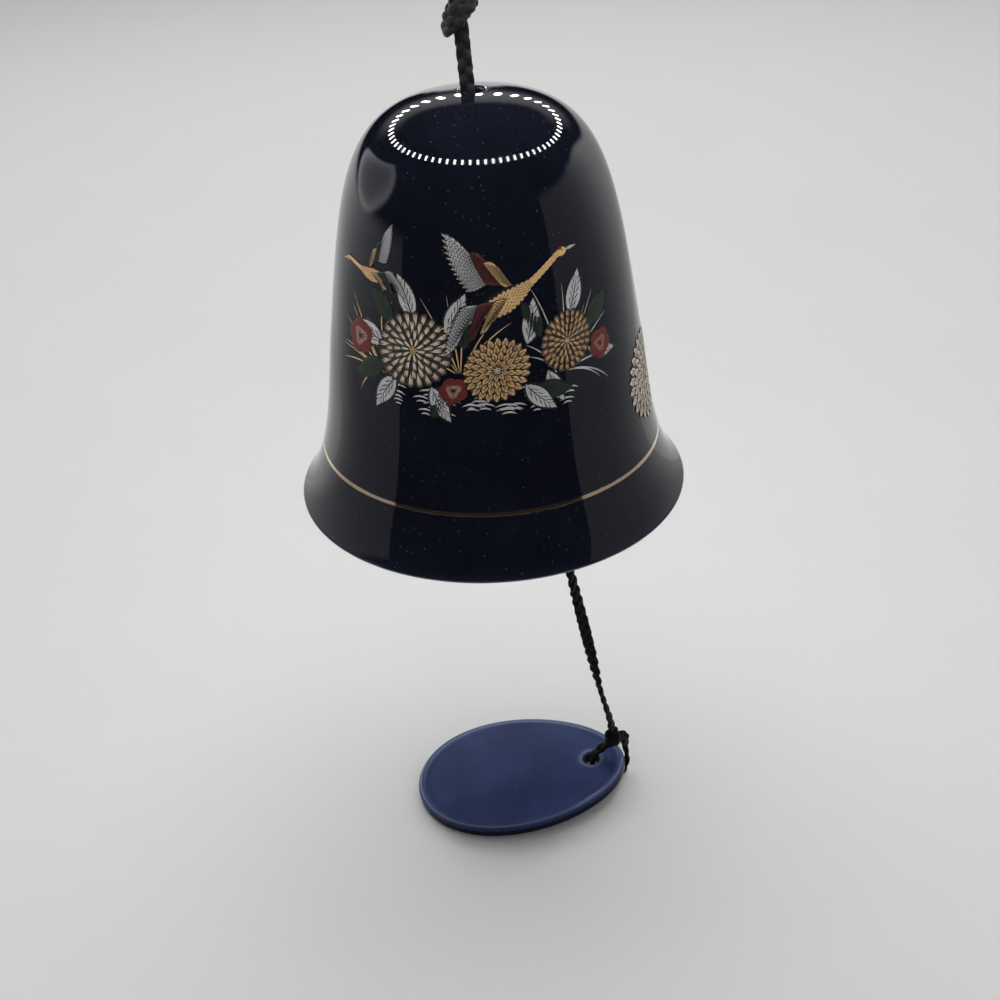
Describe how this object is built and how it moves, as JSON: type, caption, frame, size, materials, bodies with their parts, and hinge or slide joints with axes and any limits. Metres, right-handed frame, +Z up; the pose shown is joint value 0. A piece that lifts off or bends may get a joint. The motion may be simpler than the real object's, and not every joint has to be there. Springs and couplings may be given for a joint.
{
  "type": "wind bell",
  "caption": "Flared glazed ceramic wind bell hung on a plaited cord, with a bead clapper inside and an egg-shaped ceramic tag below that catches the wind and swings the clapper.",
  "frame": {"origin": "the point where the hanging loop bears on its hook", "axes": "+Z up along the bell's axis, +X towards the side that the lower cord leans to, -Y towards the picture's viewer"},
  "size_m": [0.09, 0.09, 0.2556],
  "materials": {
    "bell_glaze": "high gloss near-black cobalt glaze",
    "clapper_glaze": "gloss cobalt glaze",
    "tag_glaze": "gloss cobalt glaze, paler on the edges",
    "plait": "matt black plaited cord"
  },
  "bodies": {
    "hanger": {"hanging_loop": "plait"},
    "top_knot": {"top_knot": "plait"},
    "suspension": {"neck_cord": "plait"},
    "bell": {"bell": "bell_glaze"},
    "stop_knot": {"stop_knot": "plait"},
    "clapper_line": {"clapper_cord": "plait", "clapper_knot": "plait"},
    "clapper": {"clapper": "clapper_glaze"},
    "tag_line": {"tag_cord": "plait"},
    "tag_hanger": {"tag_knot": "plait", "tag_loop": "plait"},
    "tag": {"tag": "tag_glaze"}
  },
  "joints": [
    {"name": "bell_swing_fore_aft", "type": "hinge", "parent": "hanger", "child": "top_knot", "pos_m": [0.00229, 0, -0.04374], "axis": [1, 0, 0], "range_deg": [-25, 25]},
    {"name": "bell_swing_side", "type": "hinge", "parent": "top_knot", "child": "suspension", "pos_m": [0.00283, 0, -0.05403], "axis": [0, 1, 0], "range_deg": [-25, 25]},
    {"name": "bell_spin", "type": "hinge", "parent": "suspension", "child": "bell", "pos_m": [0.00413, 0, -0.06431], "axis": [0, 0, 1], "continuous": true},
    {"name": "clapper_turn", "type": "hinge", "parent": "suspension", "child": "stop_knot", "pos_m": [0.00413, 0, -0.06611], "axis": [0, 0, 1], "range_deg": [-180, 180]},
    {"name": "clapper_swing", "type": "hinge", "parent": "stop_knot", "child": "clapper_line", "pos_m": [0.00413, 0, -0.07271], "axis": [0, -1, 0], "range_deg": [-30, 11.5]},
    {"name": "clapper_spin", "type": "hinge", "parent": "clapper_line", "child": "clapper", "pos_m": [0.01375, 0, -0.13103], "axis": [0.1628, 0, -0.9867], "continuous": true},
    {"name": "tag_line_swing", "type": "hinge", "parent": "clapper_line", "child": "tag_line", "pos_m": [0.01622, 0, -0.14602], "axis": [0, -1, 0], "range_deg": [-25, 25]},
    {"name": "tag_turn", "type": "hinge", "parent": "tag_line", "child": "tag_hanger", "pos_m": [0.03269, 0, -0.2371], "axis": [0.1779, 0, -0.984], "range_deg": [-180, 180]},
    {"name": "tag_tilt", "type": "hinge", "parent": "tag_hanger", "child": "tag", "pos_m": [0.03296, 0, -0.24824], "axis": [-0.0593, 0.9982, 0], "range_deg": [-110, 40]}
  ]
}
